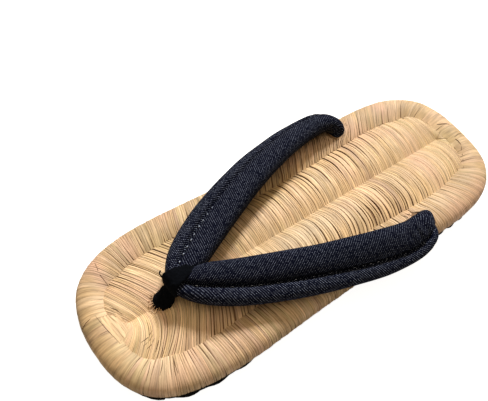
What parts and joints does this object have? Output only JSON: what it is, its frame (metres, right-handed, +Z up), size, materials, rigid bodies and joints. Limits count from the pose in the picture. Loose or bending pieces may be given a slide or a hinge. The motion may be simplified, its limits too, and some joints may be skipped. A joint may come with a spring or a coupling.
{
  "type": "zori sandal",
  "caption": "Flat thong sandal with a woven straw footbed, a padded V strap held by a velvet toe loop, and a lugged rubber tread sole.",
  "frame": {"origin": "on the floor, under the middle of the sandal's outline", "axes": "+Z up, +Y towards the heel, +X across the sandal; the toe is at -Y"},
  "size_m": [0.1196, 0.2654, 0.0389],
  "materials": {
    "rubber": "matte moulded",
    "straw": "woven split straw, soft satin",
    "denim": "matte twill over padding",
    "velvet": "short black pile"
  },
  "bodies": {
    "root": {"outsole": "rubber", "woven_footbed": "straw", "strap": "denim", "toe_loop": "velvet"}
  },
  "joints": []
}
